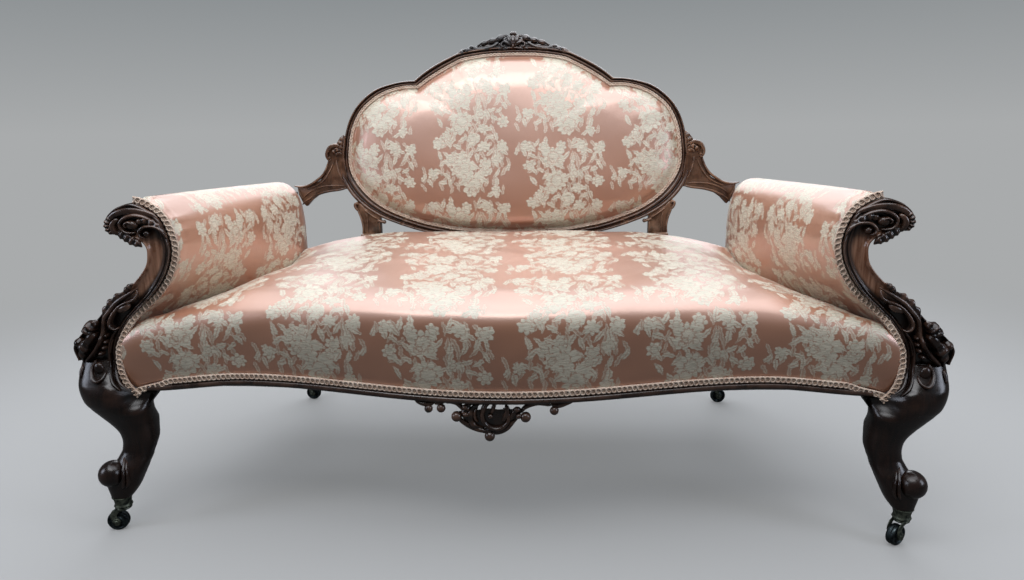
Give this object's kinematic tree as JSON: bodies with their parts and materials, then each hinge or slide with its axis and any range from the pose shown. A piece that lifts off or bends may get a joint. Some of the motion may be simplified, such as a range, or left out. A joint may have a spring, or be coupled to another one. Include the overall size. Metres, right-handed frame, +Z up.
{
  "type": "sofa",
  "caption": "Cabriole sofa with medallion back, rolled arms, carved show frame, damask upholstery and swivel casters.",
  "frame": {"origin": "on the floor, under the middle of the bounding box", "axes": "+X to the viewer's right, front faces -Y, +Z up"},
  "size_m": [1.64, 0.751, 1.009],
  "materials": {
    "dark_walnut": "polished, nearly black brown",
    "carved_walnut": "polished, dark brown",
    "worn_walnut": "polished, worn brown",
    "beech": "bare",
    "damask": "satin damask, pale salmon",
    "gimp_braid": "woven braid",
    "jute_webbing": "plain weave",
    "canvas": "plain weave",
    "black_cambric": "thin plain weave",
    "spring_wire": "bare wire",
    "steel": "bare",
    "brass": "aged, dull",
    "dark_iron": "blackened, worn smooth"
  },
  "bodies": {
    "sofa": {"front_leg_left": "dark_walnut", "front_leg_right": "dark_walnut", "arm_facing_left": "carved_walnut", "arm_facing_right": "carved_walnut", "front_rail": "carved_walnut", "rail_tongues": "beech", "side_rail_left": "beech", "side_rail_right": "beech", "back_rail": "beech", "rear_leg_left": "dark_walnut", "rear_leg_right": "dark_walnut", "corner_blocks": "beech", "block_screws": "steel", "back_frame_top": "worn_walnut", "back_frame_left": "worn_walnut", "back_frame_right": "worn_walnut", "back_frame_bottom": "worn_walnut", "crest_carving": "carved_walnut", "back_post_left": "worn_walnut", "back_post_right": "worn_walnut", "arm_bracket_left": "worn_walnut", "arm_bracket_right": "worn_walnut", "apron_carving": "carved_walnut", "arm_rail_left": "beech", "arm_rail_right": "beech", "arm_post_left": "beech", "arm_post_right": "beech", "seat_webbing": "jute_webbing", "seat_springs": "spring_wire", "spring_canvas": "canvas", "seat_cushion": "damask", "arm_pad_left": "damask", "arm_pad_right": "damask", "back_pad": "damask", "outside_back": "damask", "outside_arm_left": "damask", "outside_arm_right": "damask", "seat_gimp": "gimp_braid", "back_gimp": "gimp_braid", "arm_gimp_left": "gimp_braid", "arm_gimp_right": "gimp_braid", "dust_cover": "black_cambric", "front_caster_cups": "brass", "rear_caster_cups": "brass"},
    "caster_front_left": {"caster_horn_front_left": "brass", "caster_axle_front_left": "steel"},
    "wheel_front_left": {"caster_wheel_front_left": "dark_iron"},
    "caster_front_right": {"caster_horn_front_right": "brass", "caster_axle_front_right": "steel"},
    "wheel_front_right": {"caster_wheel_front_right": "dark_iron"},
    "caster_rear_left": {"caster_horn_rear_left": "brass", "caster_axle_rear_left": "steel"},
    "wheel_rear_left": {"caster_wheel_rear_left": "dark_iron"},
    "caster_rear_right": {"caster_horn_rear_right": "brass", "caster_axle_rear_right": "steel"},
    "wheel_rear_right": {"caster_wheel_rear_right": "dark_iron"}
  },
  "joints": [
    {"name": "swivel_front_left", "type": "hinge", "parent": "sofa", "child": "caster_front_left", "pos_m": [-0.74674, -0.33566, 0.05], "axis": [0, 0, 1], "continuous": true},
    {"name": "roll_front_left", "type": "hinge", "parent": "caster_front_left", "child": "wheel_front_left", "pos_m": [-0.75954, -0.33792, 0.02], "axis": [0.1736, -0.9848, 0], "continuous": true},
    {"name": "swivel_front_right", "type": "hinge", "parent": "sofa", "child": "caster_front_right", "pos_m": [0.74674, -0.33566, 0.05], "axis": [0, 0, 1], "continuous": true},
    {"name": "roll_front_right", "type": "hinge", "parent": "caster_front_right", "child": "wheel_front_right", "pos_m": [0.73572, -0.34255, 0.02], "axis": [0.5299, -0.848, 0], "continuous": true},
    {"name": "swivel_rear_left", "type": "hinge", "parent": "sofa", "child": "caster_rear_left", "pos_m": [-0.583, 0.353, 0.05], "axis": [0, 0, 1], "continuous": true},
    {"name": "roll_rear_left", "type": "hinge", "parent": "caster_rear_left", "child": "wheel_rear_left", "pos_m": [-0.59597, 0.35391, 0.02], "axis": [-0.0698, -0.9976, 0], "continuous": true},
    {"name": "swivel_rear_right", "type": "hinge", "parent": "sofa", "child": "caster_rear_right", "pos_m": [0.583, 0.353, 0.05], "axis": [0, 0, 1], "continuous": true},
    {"name": "roll_rear_right", "type": "hinge", "parent": "caster_rear_right", "child": "wheel_rear_right", "pos_m": [0.57003, 0.35209, 0.02], "axis": [0.0698, -0.9976, 0], "continuous": true}
  ]
}
